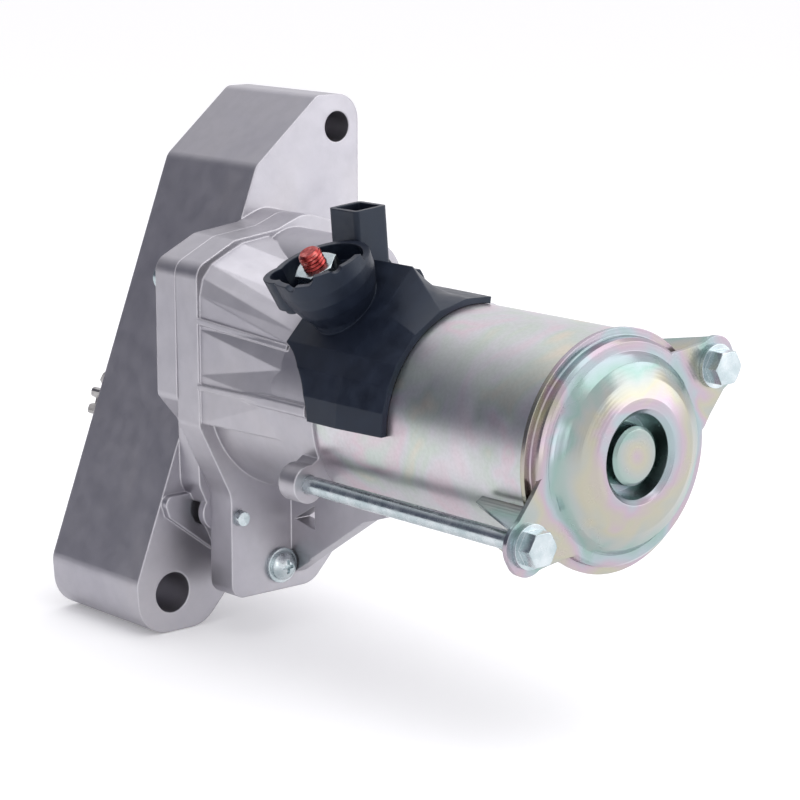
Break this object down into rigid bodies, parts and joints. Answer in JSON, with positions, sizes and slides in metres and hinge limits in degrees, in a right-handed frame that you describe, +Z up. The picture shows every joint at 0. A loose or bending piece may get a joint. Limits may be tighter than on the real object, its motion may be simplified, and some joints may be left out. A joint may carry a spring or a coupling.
{
  "type": "starter motor",
  "caption": "Offset gear-reduction engine starter: motor, solenoid and shift lever push a driven pinion out of a two-ear die-cast housing.",
  "frame": {"origin": "the point where the armature axis meets the mounting face of the front housing", "axes": "+Y runs along the armature axis out of the mounting face towards the drive pinion, +X is to the right when looking along +Y, +Z is up towards the upper mounting ear"},
  "size_m": [0.1011, 0.2634, 0.1825],
  "materials": {
    "die_cast_aluminium": "satin die-cast",
    "zinc_steel": "passivated zinc plate",
    "bright_zinc_steel": "bright zinc plate",
    "black_plastic": "moulded glass-filled nylon",
    "copper": "copper-flashed thread",
    "bare_copper": "bare copper",
    "bearing_steel": "ground steel",
    "gear_steel": "hardened and machined",
    "core_iron": "laminated electrical steel",
    "ferrite": "sintered ferrite",
    "carbon": "copper-graphite brush",
    "bronze": "sintered bronze",
    "spring_steel": "drawn wire",
    "insulation": "moulded phenolic",
    "seal_rubber": "moulded rubber"
  },
  "bodies": {
    "motor_frame": {"front_housing": "die_cast_aluminium", "gear_case": "die_cast_aluminium", "yoke_tube": "zinc_steel", "rear_cover": "zinc_steel", "through_bolts": "bright_zinc_steel", "front_screws": "bright_zinc_steel", "rear_screws": "bright_zinc_steel", "locating_dowels": "bearing_steel", "terminal_block": "black_plastic", "battery_stud": "copper", "battery_nut": "bright_zinc_steel", "battery_contact": "bare_copper", "motor_contact": "bare_copper", "signal_blade": "bare_copper", "field_magnets": "ferrite", "magnet_clips": "spring_steel", "brush_holder": "insulation", "brushes": "carbon", "brush_springs": "spring_steel", "rear_bush": "bronze", "bearing_outer_ring": "bearing_steel", "solenoid_can": "core_iron", "solenoid_core": "core_iron", "solenoid_bobbin": "insulation", "solenoid_coil": "bare_copper", "lever_pin": "bearing_steel", "clutch_bush": "bronze", "nose_bush": "bronze", "shaft_seal": "seal_rubber", "plunger_spring": "spring_steel", "pinion_spring": "spring_steel"},
    "armature": {"armature_shaft": "gear_steel", "armature_core": "core_iron", "armature_windings": "bare_copper", "commutator_bars": "bare_copper", "commutator_hub": "insulation", "thrust_washer": "bearing_steel", "bearing_inner_ring": "bearing_steel"},
    "ball_set": {"bearing_cage": "spring_steel", "bearing_balls": "bearing_steel"},
    "clutch_outer": {"clutch_gear": "gear_steel", "clutch_rollers": "gear_steel", "clutch_cover": "gear_steel"},
    "clutch_inner": {"clutch_sleeve": "gear_steel"},
    "output": {"output_shaft": "gear_steel", "shift_collar": "gear_steel", "drive_pinion": "gear_steel", "snap_ring": "spring_steel"},
    "plunger": {"solenoid_plunger": "bearing_steel", "contact_rod": "bearing_steel", "contact_plate": "bare_copper"},
    "lever": {"shift_lever": "gear_steel"}
  },
  "joints": [
    {"name": "armature_spin", "type": "hinge", "parent": "motor_frame", "child": "armature", "pos_m": [0, -0.14, 0], "axis": [0, 1, 0], "continuous": true},
    {"name": "ball_set_spin", "type": "hinge", "parent": "motor_frame", "child": "ball_set", "pos_m": [0, -0.08, 0], "axis": [0, 1, 0], "continuous": true},
    {"name": "clutch_gear_spin", "type": "hinge", "parent": "motor_frame", "child": "clutch_outer", "pos_m": [-0.009, -0.06, -0.02332], "axis": [0, 1, 0], "continuous": true},
    {"name": "clutch_overrun", "type": "hinge", "parent": "clutch_outer", "child": "clutch_inner", "pos_m": [-0.009, -0.06, -0.02332], "axis": [0, 1, 0], "continuous": true},
    {"name": "plunger_slide", "type": "slide", "parent": "motor_frame", "child": "plunger", "axis": [0, -1, 0], "range_m": [0, 0.01], "stiffness_N_per_m": 400, "springref_m": -0.02, "deforming": ["plunger_spring"]},
    {"name": "pinion_shift", "type": "slide", "parent": "clutch_inner", "child": "output", "axis": [0, 1, 0], "range_m": [0, 0.01], "deforming": ["pinion_spring"]},
    {"name": "lever_swing", "type": "hinge", "parent": "motor_frame", "child": "lever", "pos_m": [-0.005, -0.034, 0.00584], "axis": [0.9907, 0, -0.1359], "range_deg": [0, 19.61]}
  ],
  "couplings": [
    {"joint": "ball_set_spin", "follows": "armature_spin", "ratio": 0.3889},
    {"joint": "clutch_gear_spin", "follows": "armature_spin", "ratio": -0.33333},
    {"joint": "pinion_shift", "follows": "plunger_slide", "ratio": 1},
    {"joint": "lever_swing", "follows": "plunger_slide", "rad_per_m": 34.139}
  ]
}
